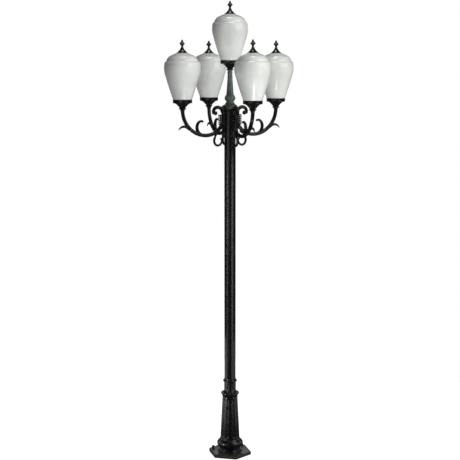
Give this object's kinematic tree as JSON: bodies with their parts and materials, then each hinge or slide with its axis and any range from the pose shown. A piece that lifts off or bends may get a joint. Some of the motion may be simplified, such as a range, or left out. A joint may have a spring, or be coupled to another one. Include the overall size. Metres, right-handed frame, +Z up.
{
  "type": "street lamp post",
  "caption": "Street lamp post with a fluted pole on a hexagonal base plate, four scrolled arms and a taller centre stem, each with an acorn globe and finial.",
  "frame": {"origin": "centre of the base plate's underside, on the pole's axis", "axes": "+Z up along the pole; arms at +X, +Y, -X and -Y; the wiring door faces +Y"},
  "size_m": [0.9382, 0.9382, 3.136],
  "materials": {
    "black_casting": "gloss black powder coat on cast aluminium",
    "olive_casting": "rubbed olive-black powder coat on cast aluminium",
    "black_tube": "gloss black powder coat on extruded aluminium",
    "black_cap": "moulded black polyethylene",
    "steel_fastener": "zinc-plated steel",
    "brass_fitting": "plain brass",
    "porcelain": "glazed porcelain",
    "bulb_glass": "frosted glass",
    "opal_acrylic": "glossy opal white acrylic"
  },
  "bodies": {
    "post": {"base_plate": "black_casting", "anchor_caps": "black_cap", "foot_screws": "steel_fastener", "base_column": "black_casting", "door_hinge_pin": "steel_fastener", "ground_lug": "brass_fitting", "pole_collar": "black_casting", "collar_set_screws": "steel_fastener", "pole_tube": "black_tube", "hub_body": "black_casting", "hub_set_screws": "steel_fastener", "hub_top_ring": "olive_casting", "centre_nipple": "steel_fastener", "nipple_nut": "steel_fastener", "top_stem": "olive_casting", "arm_right": "black_casting", "arm_back": "black_casting", "arm_left": "black_casting", "arm_front": "black_casting", "bracket_right": "black_casting", "bracket_back": "black_casting", "bracket_left": "black_casting", "bracket_front": "black_casting", "hub_bolts": "steel_fastener", "cup_screws": "steel_fastener", "cup_nipples": "steel_fastener", "cup_centre": "black_casting", "holder_centre": "porcelain", "bulb_centre": "bulb_glass", "cup_right": "black_casting", "holder_right": "porcelain", "bulb_right": "bulb_glass", "cup_back": "black_casting", "holder_back": "porcelain", "bulb_back": "bulb_glass", "cup_left": "black_casting", "holder_left": "porcelain", "bulb_left": "bulb_glass", "cup_front": "black_casting", "holder_front": "porcelain", "bulb_front": "bulb_glass"},
    "wiring_door": {"access_door": "black_casting", "door_screw": "steel_fastener"},
    "lamp_top_centre": {"globe_centre": "opal_acrylic", "finial_centre": "black_casting"},
    "lamp_top_right": {"globe_right": "opal_acrylic", "finial_right": "black_casting"},
    "lamp_top_back": {"globe_back": "opal_acrylic", "finial_back": "black_casting"},
    "lamp_top_left": {"globe_left": "opal_acrylic", "finial_left": "black_casting"},
    "lamp_top_front": {"globe_front": "opal_acrylic", "finial_front": "black_casting"}
  },
  "joints": [
    {"name": "door_hinge", "type": "hinge", "parent": "post", "child": "wiring_door", "pos_m": [0.035, 0.0775, 0.1997], "axis": [0, 0, -1], "range_deg": [0, 110]},
    {"name": "globe_lift_centre", "type": "slide", "parent": "post", "child": "lamp_top_centre", "axis": [0, 0, 1], "range_m": [0, 0.3]},
    {"name": "globe_lift_right", "type": "slide", "parent": "post", "child": "lamp_top_right", "axis": [0, 0, 1], "range_m": [0, 0.3]},
    {"name": "globe_lift_back", "type": "slide", "parent": "post", "child": "lamp_top_back", "axis": [0, 0, 1], "range_m": [0, 0.3]},
    {"name": "globe_lift_left", "type": "slide", "parent": "post", "child": "lamp_top_left", "axis": [0, 0, 1], "range_m": [0, 0.3]},
    {"name": "globe_lift_front", "type": "slide", "parent": "post", "child": "lamp_top_front", "axis": [0, 0, 1], "range_m": [0, 0.3]}
  ]
}
